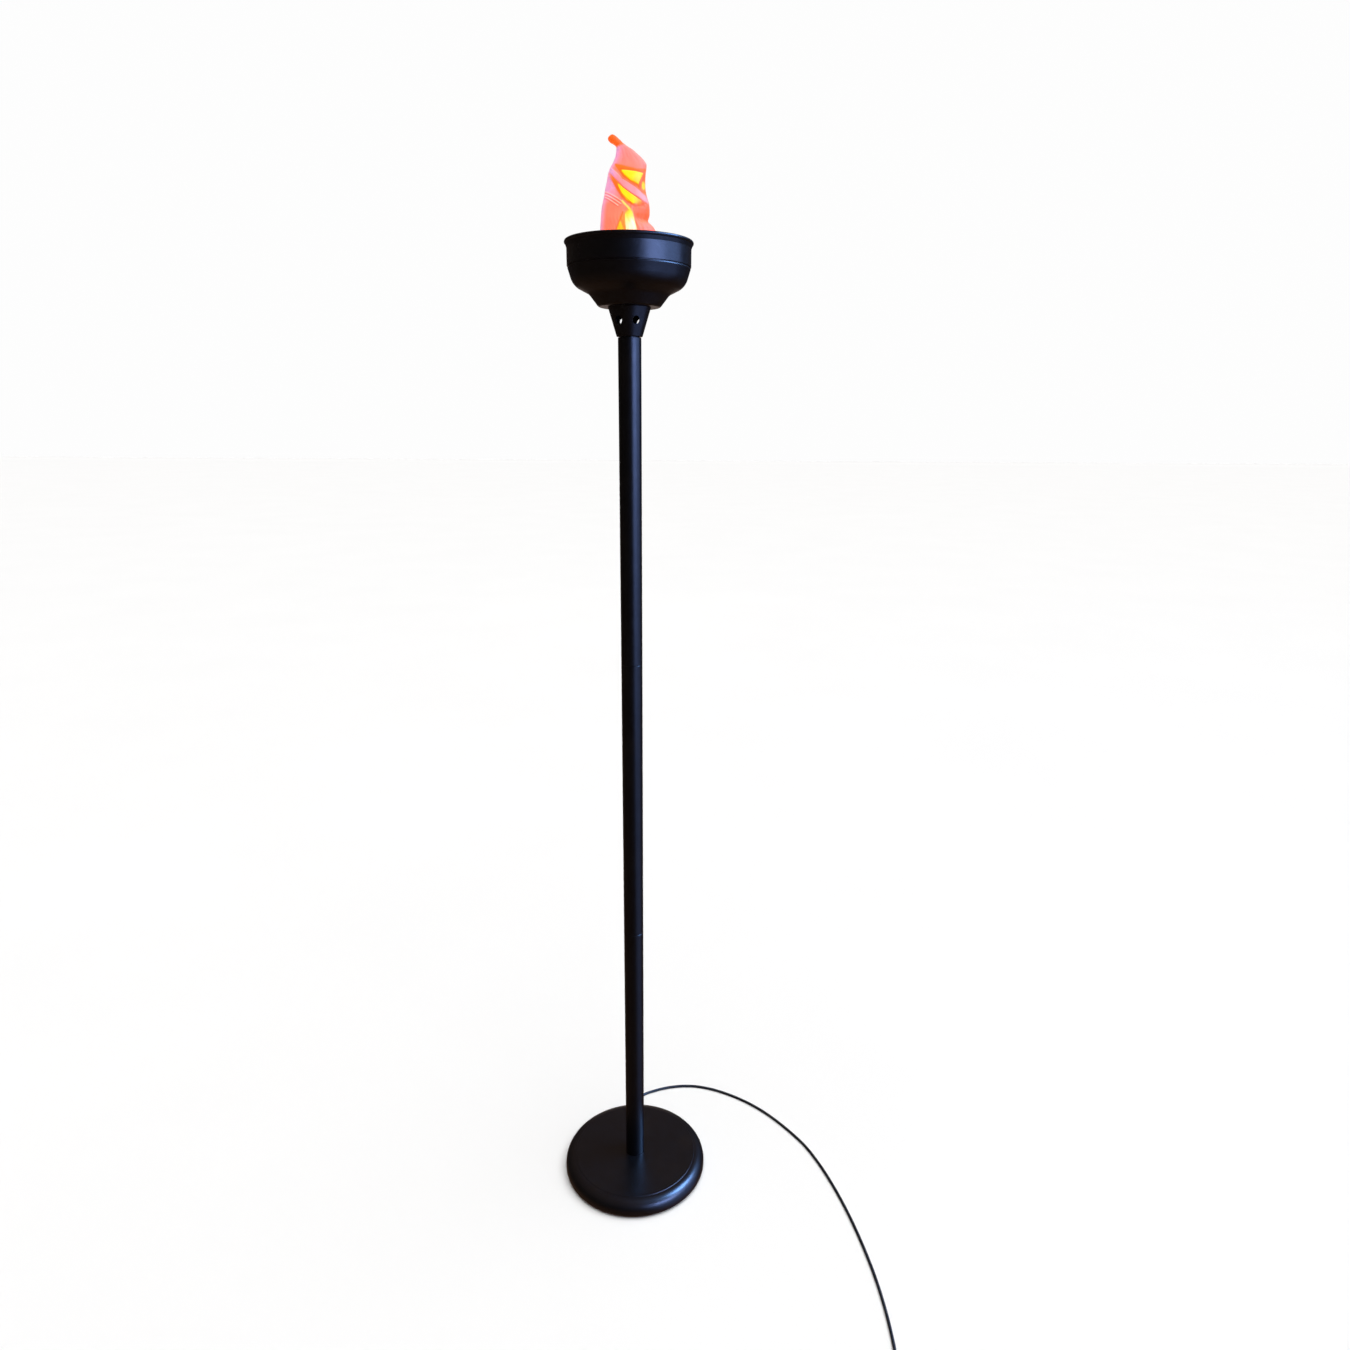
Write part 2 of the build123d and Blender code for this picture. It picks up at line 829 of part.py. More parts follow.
# ---------------------------------------------------------------- write every sub-part
save("base_pad", ring(26.0, 124.0, 0.0, pad_thickness))
save("base_weight", base_weight())
save("base_shell", base_shell())
save("foot_washer", ring(rod_radius + 0.2, 14.0, recess_top - washer_thickness, recess_top))
nut_top = recess_top - washer_thickness
save("foot_nut", hex_nut(nut_top - nut_height, nut_top, rod_radius + thread_gap))
save("foot_rod", threaded_rod(nut_top - nut_height - 0.5, foot + 23))
save("foot_bush", ring(rod_radius + thread_gap, plug_radius, foot + 0.3, foot + 24))

for index, name in enumerate(("lower", "middle", "upper")):
    low = foot + index * section_length
    save(f"{name}_tube", tube(low, low + section_length))
for index, name in enumerate(("lower", "upper")):
    height = foot + (index + 1) * section_length
    save(f"{name}_joint_plug", joint_plug(height))
    save(f"{name}_joint_socket", joint_socket(height))

save("neck_bush", ring(rod_radius + thread_gap, plug_radius, pole_top - 24, pole_top))
save("neck_washer", ring(rod_radius + 0.2, 14.6, pole_top, cone_bottom))
save("neck_rod", threaded_rod(pole_top - 22, bowl_floor + 8.5))
save("neck_cone", neck_cone())
save("bowl_shell", bowl_shell())
save("bowl_washer", ring(rod_radius + 0.2, 12.5, bowl_floor, bowl_floor + washer_thickness))
bowl_nut_low = bowl_floor + washer_thickness
save("bowl_nut", hex_nut(bowl_nut_low, bowl_nut_low + nut_height, rod_radius + thread_gap))
save("bowl_band", bowl_band())
save("rim_wire", rim_wire())
save("band_rivets", rivets())
save("right_bracket", bracket(rivet_azimuth))
save("left_bracket", bracket(rivet_azimuth + 180))
save("lamp_plate", lamp_plate())
save("plate_screws", plate_screws())

save("fan_frame", fan_frame())
save("fan_bearing", fan_bearing())
save("fan_stator", fan_stator())
save("fan_windings", fan_windings())
save("fan_board", fan_board())
save("fan_rotor", fan_rotor())
save("fan_shaft", fan_shaft())
save("fan_magnet", fan_magnet())
save("finger_guard", finger_guard())
save("fan_screws", fan_screws())
save("small_nuts", small_nuts())

save("light_board", light_board())
save("lights", lights())
save("light_lenses", light_lenses())
save("silk_ring", silk_ring())
save("silk_clamp", silk_clamp())
save("silk_flame", silk_flame())

save("driver_case", driver_case())
save("driver_lid", driver_lid())
save("driver_board", driver_board())
save("terminal_block", terminal_block())
save("terminal_screws", terminal_screws())
inner_solid, inner_length = inner_lead()
save("inner_lead", inner_solid)
save("link_wires", link_wires())
save("lamp_wires", lamp_wires())

save("strain_relief", strain_relief())
lead_radii = run_radii(lead_points)
lead_solid, lead_length = tube_along(lead_points, lead_radii, lead_diameter)
save("mains_lead", lead_solid)
save("lead_coil", lead_coil())
save("coil_tie", coil_tie())
plug_radii = run_radii(plug_lead_points)
plug_lead_solid, plug_lead_length = tube_along(plug_lead_points, plug_radii, lead_diameter)
save("plug_lead", plug_lead_solid)
save("plug_body", plug_body())
save("plug_pins", plug_pins())

print("sub-parts:", len(node_names))
section_area = pi * lead_diameter**2 / 4
for label, solid, length in (
    ("inner lead", inner_solid, inner_length),
    ("mains lead", lead_solid, lead_length),
    ("plug lead", plug_lead_solid, plug_lead_length),
):
    share = solid.volume / (section_area * length)
    print(label, "length", round(length, 1), "volume share", round(share, 4))
print("mains lead radii:", [round(radius) for radius in lead_radii])
print("plug lead radii:", [round(radius) for radius in plug_radii])
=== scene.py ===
"""Silk-flame floor torch: looks, in the CAD model's frame.

Lights, camera and materials are in metres. The mains lead and the silk are laid out in
millimetres and scaled by MM.
"""
import json
import math

import bpy
from mathutils import Matrix, Vector, noise


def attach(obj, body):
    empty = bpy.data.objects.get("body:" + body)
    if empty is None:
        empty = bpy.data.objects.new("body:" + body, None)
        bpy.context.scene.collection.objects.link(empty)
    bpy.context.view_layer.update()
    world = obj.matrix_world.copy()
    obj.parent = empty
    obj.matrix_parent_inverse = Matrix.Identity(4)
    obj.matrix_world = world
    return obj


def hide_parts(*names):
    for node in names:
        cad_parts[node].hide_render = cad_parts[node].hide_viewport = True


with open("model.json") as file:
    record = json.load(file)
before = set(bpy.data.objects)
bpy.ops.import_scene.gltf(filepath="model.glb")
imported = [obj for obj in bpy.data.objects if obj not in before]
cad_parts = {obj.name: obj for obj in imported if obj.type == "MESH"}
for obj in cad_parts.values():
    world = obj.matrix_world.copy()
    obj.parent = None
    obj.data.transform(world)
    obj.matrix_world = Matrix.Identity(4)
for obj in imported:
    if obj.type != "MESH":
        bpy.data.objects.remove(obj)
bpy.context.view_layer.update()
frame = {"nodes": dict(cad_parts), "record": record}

MM = 0.001


# ---------------------------------------------------------------- camera
# Camera at a standing person's shoulder height, looking a little down; lens and sensor in mm
CAMERA_PLACE = (0, -1.4626, 1.4112)
CAMERA_PITCH = math.radians(17.488)
CAMERA_ROLL = math.radians(-0.455)
CAMERA_YAW = math.radians(2.805)
SENSOR_WIDTH = 36.0
LENS = 24.46373
SHIFT_UP = 0.0222


def make_camera():
    """Camera turned from level: yaw and pitch first, then rolled about its line of sight."""
    forward = Vector(
        (
            math.sin(CAMERA_YAW) * math.cos(CAMERA_PITCH),
            math.cos(CAMERA_YAW) * math.cos(CAMERA_PITCH),
            -math.sin(CAMERA_PITCH),
        )
    )
    level = Vector((math.cos(CAMERA_YAW), -math.sin(CAMERA_YAW), 0))
    upright = level.cross(forward)
    right = level * math.cos(CAMERA_ROLL) - upright * math.sin(CAMERA_ROLL)
    up = level * math.sin(CAMERA_ROLL) + upright * math.cos(CAMERA_ROLL)
    data = bpy.data.cameras.new("camera")
    data.sensor_width = SENSOR_WIDTH
    data.lens = LENS
    data.shift_y = SHIFT_UP
    data.clip_end = 100
    camera = bpy.data.objects.new("camera", data)
    bpy.context.collection.objects.link(camera)
    turn = Matrix((right, up, -forward)).transposed().to_4x4()
    camera.matrix_world = Matrix.Translation(CAMERA_PLACE) @ turn
    bpy.context.scene.camera = camera


make_camera()


# ---------------------------------------------------------------- helpers
def link(name, data):
    """New object holding data, in the scene."""
    made = bpy.data.objects.new(name, data)
    bpy.context.collection.objects.link(made)
    return made


def paint(piece, material):
    """Give a piece, or a CAD node by name, one material."""
    if isinstance(piece, str):
        piece = frame["nodes"][piece]
    slots = piece.data.materials
    if len(slots) == 0:
        slots.append(material)
    for index in range(len(slots)):
        slots[index] = material
    for slot in piece.material_slots:
        slot.link = "DATA"
        slot.material = material


class Nodes:
    """Short way to build a material's node tree."""

    def __init__(self, name):
        self.material = bpy.data.materials.new(name)
        self.material.use_nodes = True
        self.tree = self.material.node_tree
        self.tree.nodes.clear()
        self.output = self.add("ShaderNodeOutputMaterial")
        self.shader = self.add("ShaderNodeBsdfPrincipled")
        self.join(self.shader, "BSDF", self.output, "Surface")
        self.where = self.add("ShaderNodeTexCoord")

    def add(self, kind, **values):
        """New node; values set its inputs, or else its own settings."""
        node = self.tree.nodes.new(kind)
        for key, value in values.items():
            if key in node.inputs:
                node.inputs[key].default_value = value
            else:
                setattr(node, key, value)
        return node

    def join(self, source, output, target, entry):
        """Link an output, by name, to an input."""
        self.tree.links.new(source.outputs[output], target.inputs[entry])

    def set(self, **values):
        """Set the shader's inputs; an underscore stands for a space."""
        for key, value in values.items():
            self.shader.inputs[key.replace("_", " ")].default_value = value

    def noise(self, scale, detail=4.0, stretch=None):
        """Noise in object coordinates; scale is per metre."""
        node = self.add("ShaderNodeTexNoise", Scale=scale, Detail=detail, Roughness=0.5)
        if stretch is None:
            self.join(self.where, "Object", node, "Vector")
        else:
            mapping = self.add("ShaderNodeMapping")
            mapping.inputs["Scale"].default_value = stretch
            self.join(self.where, "Object", mapping, "Vector")
            self.join(mapping, "Vector", node, "Vector")
        return node

    def ramp(self, source, output, stops):
        """Colour ramp on a value; stops are (position, colour)."""
        node = self.add("ShaderNodeValToRGB")
        elements = node.color_ramp.elements
        while len(elements) < len(stops):
            elements.new(0.5)
        for element, (position, colour) in zip(elements, stops):
            element.position = position
            element.color = (*colour, 1)
        self.join(source, output, node, "Fac")
        return node

    def spread(self, source, output, low, high):
        """Map a noise, which keeps mostly between 0.3 and 0.7, to a range."""
        node = self.add("ShaderNodeMapRange")
        node.inputs["From Min"].default_value = 0.3
        node.inputs["From Max"].default_value = 0.7
        node.inputs["To Min"].default_value = low
        node.inputs["To Max"].default_value = high
        self.join(source, output, node, "Value")
        return node

    def bump(self, source, output, distance, strength=1.0, under=None):
        """Bump from a height; distance in metres."""
        node = self.add("ShaderNodeBump", Strength=strength, Distance=distance)
        self.join(source, output, node, "Height")
        if under is not None:
            self.join(under, "Normal", node, "Normal")
        self.join(node, "Normal", self.shader, "Normal")
        return node


def plain(name, dark, light, rough, grain, bump_height, metallic=0.0):
    """Material with blotchy colour, uneven roughness and fine grain."""
    n = Nodes(name)
    blotch = n.noise(40.0)
    colour = n.ramp(blotch, "Fac", [(0.35, dark), (0.65, light)])
    n.join(colour, "Color", n.shader, "Base Color")
    uneven = n.noise(124.0, 5.0)
    roughness = n.spread(uneven, "Fac", *rough)
    n.join(roughness, "Result", n.shader, "Roughness")
    fine = n.noise(grain, 3.0)
    n.bump(fine, "Fac", bump_height)
    n.set(Metallic=metallic)
    return n.material


# ---------------------------------------------------------------- materials
def black_paint(name, coat=0.0):
    """Satin black powder coat: orange peel, uneven gloss, dust and worn brown spots."""
    n = Nodes(name)
    black, worn, brown = (0.0010, 0.0011, 0.0016), (0.0016, 0.0016, 0.0020), (0.004, 0.003, 0.0024)
    blotch = n.noise(18.0, 6.0)
    base = n.ramp(blotch, "Fac", [(0.3, black), (0.55, worn), (0.75, brown)])
    specks = n.noise(420.0, 2.0)
    dust = n.ramp(specks, "Fac", [(0.70, (0, 0, 0)), (0.80, (0.03, 0.03, 0.033))])
    mixed = n.add("ShaderNodeMix", data_type="RGBA", blend_type="ADD")
    mixed.inputs["Factor"].default_value = 0.5
    n.tree.links.new(base.outputs["Color"], mixed.inputs[6])
    n.tree.links.new(dust.outputs["Color"], mixed.inputs[7])
    n.tree.links.new(mixed.outputs[2], n.shader.inputs["Base Color"])
    uneven = n.noise(60.0, 6.0)
    roughness = n.spread(uneven, "Fac", 0.30, 0.38)
    n.join(roughness, "Result", n.shader, "Roughness")
    peel = n.noise(900.0, 2.0)
    soft = n.bump(peel, "Fac", 0.00006)
    wave = n.noise(35.0, 2.0)
    n.bump(wave, "Fac", 0.0004, under=soft)
    n.set(IOR=1.45, Specular_IOR_Level=0.5, Coat_Weight=coat, Coat_Roughness=0.28)
    return n.material


def brushed(name, colour, rough=(0.25, 0.4), stretch=(60, 60, 900)):
    """Metal with fine drawn lines."""
    n = Nodes(name)
    lines = n.noise(1.0, 4.0, stretch=stretch)
    dark = tuple(c * 0.75 for c in colour)
    shade = n.ramp(lines, "Fac", [(0.3, dark), (0.7, colour)])
    n.join(shade, "Color", n.shader, "Base Color")
    roughness = n.spread(lines, "Fac", *rough)
    n.join(roughness, "Result", n.shader, "Roughness")
    n.bump(lines, "Fac", 0.00003)
    n.set(Metallic=1.0)
    return n.material


def glowing(name, colour, strength):
    """Phosphor of a light chip."""
    n = Nodes(name)
    cells = n.add("ShaderNodeTexVoronoi", Scale=1500.0)
    n.join(n.where, "Object", cells, "Vector")
    shade = n.ramp(cells, "Distance", [(0.0, colour), (0.6, tuple(c * 0.7 for c in colour))])
    n.join(shade, "Color", n.shader, "Base Color")
    n.join(shade, "Color", n.shader, "Emission Color")
    n.set(Roughness=0.4, Emission_Strength=strength)
    return n.material


def clear_plastic(name):
    """Moulded lens."""
    n = Nodes(name)
    haze = n.noise(300.0, 3.0)
    roughness = n.spread(haze, "Fac", 0.03, 0.12)
    n.join(roughness, "Result", n.shader, "Roughness")
    n.set(Base_Color=(1.0, 0.97, 0.9, 1), Transmission_Weight=1.0, IOR=1.45)
    return n.material


def board_green(name):
    """Circuit board with copper tracks under the mask."""
    n = Nodes(name)
    tracks = n.add("ShaderNodeTexBrick", Scale=160.0)
    tracks.inputs["Color1"].default_value = (0.01, 0.09, 0.035, 1)
    tracks.inputs["Color2"].default_value = (0.012, 0.11, 0.045, 1)
    tracks.inputs["Mortar"].default_value = (0.03, 0.16, 0.06, 1)
    tracks.inputs["Mortar Size"].default_value = 0.06
    n.join(n.where, "Object", tracks, "Vector")
    n.join(tracks, "Color", n.shader, "Base Color")
    uneven = n.noise(400.0)
    roughness = n.spread(uneven, "Fac", 0.3, 0.45)
    n.join(roughness, "Result", n.shader, "Roughness")
    n.bump(tracks, "Fac", 0.00003)
    return n.material


materials = {
    "black_paint": black_paint("black_paint"),
    "cast_iron": plain(
        "cast_iron", (0.02, 0.018, 0.017), (0.06, 0.055, 0.05), (0.55, 0.8), 700, 0.0002, metallic=0.6
    ),
    "pad_rubber": plain("pad_rubber", (0.012, 0.012, 0.012), (0.03, 0.03, 0.03), (0.8, 0.95), 1500, 0.0001),
    "zinc_steel": brushed("zinc_steel", (0.62, 0.62, 0.60)),
    "brass": brushed("brass", (0.75, 0.55, 0.25)),
    "aluminium": brushed("aluminium", (0.72, 0.73, 0.74), (0.3, 0.45), (700, 25, 25)),
    "black_plastic": plain(
        "black_plastic", (0.012, 0.012, 0.013), (0.022, 0.022, 0.024), (0.38, 0.52), 2500, 0.00004
    ),
    "white_plastic": plain(
        "white_plastic", (0.72, 0.71, 0.66), (0.82, 0.81, 0.77), (0.35, 0.5), 2000, 0.00003
    ),
    "circuit_board": board_green("circuit_board"),
    "copper": brushed("copper", (0.80, 0.36, 0.16), (0.2, 0.35), (60, 60, 2500)),
    "magnet": plain("magnet", (0.02, 0.018, 0.018), (0.04, 0.035, 0.035), (0.5, 0.7), 1500, 0.00005),
    "emitter": glowing("emitter", (1.0, 0.72, 0.18), 25.0),
    "clear_lens": clear_plastic("clear_lens"),
    "lead_rubber": plain(
        "lead_rubber", (0.006, 0.006, 0.007), (0.014, 0.014, 0.015), (0.42, 0.58), 1800, 0.00004
    ),
    "wire_red": plain("wire_red", (0.35, 0.015, 0.012), (0.5, 0.03, 0.02), (0.3, 0.45), 1500, 0.00003),
    "nickel": brushed("nickel", (0.78, 0.76, 0.72), (0.12, 0.25)),
}


def paint_frame():
    """Every CAD node gets its slot's material; the base's paint has more gloss."""
    for entry in frame["record"]["subparts"]:
        if entry["material_slot"] in materials:
            paint(entry["node"], materials[entry["material_slot"]])
    paint("base_shell", black_paint("black_paint_glossy", coat=0.5))


paint_frame()


# ---------------------------------------------------------------- mains lead
LEAD_DIAMETER = 5.0
LEAD_FLOOR = 2.6
BASE_RADIUS = 135.0
EXIT_AZIMUTH, EXIT_HEADING, EXIT_DROP = math.radians(2.0), math.radians(8.0), math.radians(6.0)
EXIT_HEIGHT = 8.0
RELIEF_LENGTH = 22.0
STRAIGHT_RUN = 12.0
INSIDE_BASE = 2.0
exit_point = Vector(
    (BASE_RADIUS * math.sin(EXIT_AZIMUTH), BASE_RADIUS * math.cos(EXIT_AZIMUTH), EXIT_HEIGHT)
)
exit_direction = Vector(
    (
        math.sin(EXIT_HEADING) * math.cos(EXIT_DROP),
        math.cos(EXIT_HEADING) * math.cos(EXIT_DROP),
        -math.sin(EXIT_DROP),
    )
)
relief_tip = exit_point + exit_direction * RELIEF_LENGTH
lead_start = exit_point - exit_direction * INSIDE_BASE
coil_centre = Vector((436.5, -452.0, 0))

# Out of the strain relief, down to the floor behind the base, and round its right side to the coil
lead_route = [
    lead_start,
    relief_tip,
    relief_tip + exit_direction * STRAIGHT_RUN,
    (13.5, 180.0, LEAD_FLOOR + 0.5),
    (22.5, 190.0, LEAD_FLOOR),
    (38.5, 196.5, LEAD_FLOOR),
    (57.5, 203.5, LEAD_FLOOR),
    (81.0, 209.0, LEAD_FLOOR),
    (109.0, 211.5, LEAD_FLOOR),
    (141.0, 208.0, LEAD_FLOOR),
    (176.0, 196.0, LEAD_FLOOR),
    (212.0, 176.5, LEAD_FLOOR),
    (247.0, 151.0, LEAD_FLOOR),
    (276.0, 123.5, LEAD_FLOOR),
    (300.0, 94.5, LEAD_FLOOR),
    (324.0, 61.0, LEAD_FLOOR),
    (345.0, 27.0, LEAD_FLOOR),
    (362.0, -15.0, LEAD_FLOOR),
    (376.5, -62.0, LEAD_FLOOR),
    (389.0, -113.0, LEAD_FLOOR),
    (399.0, -167.0, LEAD_FLOOR),
    (406.5, -223.0, LEAD_FLOOR),
    (411.5, -281.0, LEAD_FLOOR),
    (412.5, -340.0, LEAD_FLOOR),
    (409.5, -398.0, LEAD_FLOOR + 0.4),
    (404.5, -434.0, LEAD_FLOOR + 0.9),
]
# From the coil to the plug, measured from the coil's centre
plug_route = [
    (-20.0, -33.0, 6.2),
    (-6.0, -48.0, 3.4),
    (13.0, -56.0, 3.2),
    (31.0, -57.5, 7.0),
    (46.0, -57.5, 7.0),
]


# Radius and height of each turn of the coil: three turns below, two on top, a lead's width apart
COIL_LOW, COIL_HIGH = 3.6, 7.9
COIL_TURNS = [
    (32.4, COIL_LOW),
    (27.4, COIL_LOW),
    (22.4, COIL_LOW),
    (24.9, COIL_HIGH),
    (29.9, COIL_HIGH),
]
COIL_STEPS = 16


def on_coil(radius, degrees, height):
    """Point beside the coil's centre."""
    angle = math.radians(degrees)
    return coil_centre + Vector((radius * math.cos(angle), radius * math.sin(angle), height))


def coil_turns():
    """Points of the tied coil; the last quarter of each turn moves over to the next one."""
    points = []
    for index, (radius, height) in enumerate(COIL_TURNS):
        next_radius, next_height = COIL_TURNS[min(index + 1, len(COIL_TURNS) - 1)]
        for part in range(COIL_STEPS):
            share = part / COIL_STEPS
            change = max(0.0, (share - 0.75) / 0.25)
            r = radius + (next_radius - radius) * change
            z = height + (next_height - height) * change
            points.append(on_coil(r, 180 + 360 * share, z))
    return points


def make_lead():
    """One smooth cord from the strain relief to the plug."""
    points = [Vector(p) for p in lead_route] + coil_turns()
    points.append(on_coil(COIL_TURNS[-1][0], 190, 7.7))
    points += [coil_centre + Vector(p) for p in plug_route]
    data = bpy.data.curves.new("mains_cord", "CURVE")
    data.dimensions = "3D"
    spline = data.splines.new("NURBS")
    spline.points.add(len(points) - 1)
    for target, point in zip(spline.points, points):
        target.co = (*(point * MM), 1)
    spline.order_u = 3
    spline.use_endpoint_u = True
    data.resolution_u = 6
    data.bevel_depth = LEAD_DIAMETER * MM / 2
    data.bevel_resolution = 5
    data.use_fill_caps = True
    cord = link("mains_cord", data)
    paint(cord, materials["lead_rubber"])
    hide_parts("mains_lead", "lead_coil", "plug_lead")
    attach(cord, "torch")


make_lead()


# ---------------------------------------------------------------- silk flame
# How the cloth stands, from hem to tip: height, left edge, right edge, half depth
SHAPE = [
    (1620.5, -40.7, 40.7, 40.7),
    (1629.5, -40.7, 40.7, 40.7),
    (1645.0, -41.0, 41.0, 39.5),
    (1661.0, -41.2, 39.4, 36.0),
    (1668.0, -40.9, 35.9, 34.0),
    (1672.0, -40.6, 31.5, 32.5),
    (1676.0, -40.2, 27.6, 31.0),
    (1684.0, -39.6, 29.6, 28.5),
    (1692.0, -38.6, 29.8, 26.5),
    (1700.0, -36.8, 28.8, 24.5),
    (1708.0, -34.8, 26.0, 22.5),
    (1716.0, -33.4, 24.2, 20.5),
    (1726.0, -30.8, 23.7, 18.5),
    (1736.0, -28.8, 24.2, 16.0),
    (1744.0, -25.6, 25.3, 13.5),
    (1749.0, -22.4, 25.2, 11.5),
    (1753.4, -20.2, 22.2, 10.2),
    (1757.8, -18.2, 17.7, 9.2),
    (1762.1, -17.4, 12.1, 8.4),
    (1766.5, -16.8, 6.6, 7.6),
    (1770.0, -17.2, 0.0, 7.0),
    (1772.7, -20.4, -4.2, 6.6),
    (1775.0, -25.2, -7.6, 6.3),
    (1777.6, -27.8, -10.4, 6.0),
    (1780.2, -28.4, -13.6, 5.4),
    (1782.6, -27.0, -16.6, 4.4),
    (1784.4, -24.6, -19.4, 2.4),
    (1785.2, -22.8, -21.4, 0.6),
]
HEM, TIP = SHAPE[0][0], SHAPE[-1][0]
COLLAR_TOP = SHAPE[1][0]

# Colours of the lit silk, 0 to 255: its dye with painted light and shade; the yellows, straw, pale and
# cream are painted glow
SALMON = (255, 138, 116)
BLUSH = (255, 132, 116)
CORAL = (250, 140, 128)
PINK = (255, 158, 172)
ROSE = (250, 168, 190)
LILAC = (216, 172, 224)
EMBER = (255, 112, 52)
ORANGE = (255, 122, 34)
DEEP_ORANGE = (240, 118, 10)
TIP_ORANGE = (240, 108, 24)
APRICOT = (250, 150, 50)
# painted shade under the overhanging fold
OVERHANG_SHADE = (236, 112, 60)
# painted shade along creases and in the notch
CREASE_SHADE = (214, 98, 22)
GOLD = (255, 196, 12)
DART_GOLD = (255, 214, 36)
AMBER = (255, 222, 30)
LEMON = (255, 234, 40)
YELLOW = (255, 240, 10)
STRAW = (255, 238, 130)
PALE = (255, 252, 205)
CREAM = (255, 255, 236)
TUCK_SHADE = (232, 96, 92)
TUCK_LIGHT = (255, 224, 212)


def lerp(a, b, t):
    return a + (b - a) * t


def step(low, high, value):
    """Smooth 0 to 1 between two values."""
    t = min(1.0, max(0.0, (value - low) / (high - low)))
    return t * t * (3 - 2 * t)


def along(stations, height):
    """Smooth values between stations at a height."""
    if height <= stations[0][0]:
        return stations[0][1:]
    for index in range(len(stations) - 1):
        low, high = stations[index], stations[index + 1]
        if height <= high[0]:
            before = stations[max(index - 1, 0)]
            after = stations[min(index + 2, len(stations) - 1)]
            span = high[0] - low[0]
            t = (height - low[0]) / span
            values = []
            for k in range(1, len(low)):
                slope_low = (high[k] - before[k]) / (high[0] - before[0])
                slope_high = (after[k] - low[k]) / (after[0] - low[0])
                a, b = low[k], high[k]
                h1 = 2 * t**3 - 3 * t**2 + 1
                h2 = t**3 - 2 * t**2 + t
                h3 = -2 * t**3 + 3 * t**2
                h4 = t**3 - t**2
                values.append(h1 * a + h2 * span * slope_low + h3 * b + h4 * span * slope_high)
            return tuple(values)
    return stations[-1][1:]


def level_on(line, x):
    """Height of a polyline, given left to right, at x."""
    if x <= line[0][0]:
        return line[0][1]
    for (x0, z0), (x1, z1) in zip(line, line[1:]):
        if x <= x1:
            return lerp(z0, z1, (x - x0) / (x1 - x0))
    return line[-1][1]


def between(lower, upper, x, z, soft=1.0):
    """1 between two polylines and within their ends, soft at the edges."""
    left = max(lower[0][0], upper[0][0])
    right = min(lower[-1][0], upper[-1][0])
    inside = step(-soft, soft, z - level_on(lower, x)) * step(-soft, soft, level_on(upper, x) - z)
    return inside * step(left - soft, left + soft, x) * (1 - step(right - soft, right + soft, x))


def stroke(x, z, start, end, width):
    """1 on a straight crease, fading to 0 over its width."""
    dx, dz = end[0] - start[0], end[1] - start[1]
    t = ((x - start[0]) * dx + (z - start[1]) * dz) / (dx * dx + dz * dz)
    t = min(1.0, max(0.0, t))
    gap = math.hypot(x - start[0] - t * dx, z - start[1] - t * dz)
    return max(0.0, 1 - (gap / width) ** 2)


def blob(x, z, centre, radii):
    """1 in the middle of an ellipse, 0 outside it."""
    gap = math.hypot((x - centre[0]) / radii[0], (z - centre[1]) / radii[1])
    return 1 - step(0.55, 1.15, gap)


# Places on the silk seen from the front, as (across, height).
# Edges run from left to right.
FOLD_TOP = [(-28, 1747), (-23, 1741), (-8, 1726.5), (8, 1718), (16, 1713), (28, 1704)]
FOLD_FOOT = [(-28, 1738), (-18, 1726), (-8, 1715.5), (5, 1706.7), (20, 1699), (28, 1697)]
BAND_FOOT = [(-28, 1732), (-22, 1722), (-17, 1713), (-10, 1703), (0, 1695.5), (10, 1691.5), (23, 1691)]
CORE_TOP = [(-15, 1720), (-6, 1713.5), (2, 1708), (6, 1706.3), (18, 1700)]
CORE_FOOT = [(-15, 1718), (-10, 1707.5), (-3, 1699), (6, 1694.2), (18, 1693.6)]
WINDOW_TOP = [(-19, 1747.5), (0, 1742.5), (12, 1740.5), (25, 1742)]
WINDOW_FOOT = [(-19, 1745), (-8, 1729), (4, 1722), (16, 1714.5), (25, 1709)]
PANE_TOP = [(-10, 1738.2), (20.4, 1736.2)]
PANE_FOOT = [(-10, 1736.5), (-6, 1731.5), (3, 1724.5), (13.5, 1720.5), (20.4, 1735.6)]
# Creases have a start and an end.
WINDOW_BROW = ((-11, 1739.5), (20, 1736.8))
WINDOW_SIDE = ((22.6, 1735), (15.5, 1718))
CORE_SIDES = [((-16, 1716), (-9, 1706)), ((-9, 1706), (2, 1696.5))]
TUCKS = [
    ((-33, 1712.0), (-9, 1697.0)),
    ((-34, 1708.6), (-11, 1693.8)),
    ((-33, 1704.4), (-15, 1691.6)),
]
ARCH_LEFT = ((-18.5, 1659), (-8, 1683))
ARCH_VALLEY = ((-18.5, 1650), (-8, 1683))
TONGUE_LEFT = ((-8, 1696), (1.5, 1684))
TONGUE = ((-9, 1697.5), (1, 1687))
TONGUE_RIGHT = ((3.2, 1696), (2.6, 1688))
PILLAR_SIDE = ((6.4, 1688), (12.6, 1659))
PILLAR_RIDGE = ((4.5, 1640), (1.5, 1690))
DART = ((-12.1, 1671), (-12.3, 1650))
# Round patches have a centre and two radii.
LEFT_HAZE = ((-28, 1715), (13, 18))
LEFT_FLUSH = ((-19, 1707), (9, 9))
PANE_CORNER = ((10, 1725), (5, 5))
SIDE_PANE = ((21.0, 1720.0), (3.2, 6.4))
SIDE_PANE_FOOT = ((21.5, 1712.5), (4.5, 2.6))
BULGE = ((20, 1685), (12.5, 15))
BULGE_RISE = ((20, 1685), (12, 13))
BULGE_SIDE = ((9.5, 1688), (5, 8))
ARCH_GLOW = ((-7, 1668), (8, 15))
PILLAR_HEART = ((4.5, 1655), (5, 22))
NOTCH = ((28, 1675.5), (5, 1.8))
NOTCH_DIP = ((27, 1675), (8, 2.5))
RIGHT_FOOT = ((27, 1664), (14, 10))
RIGHT_FOOT_RISE = ((27, 1664), (14, 9))


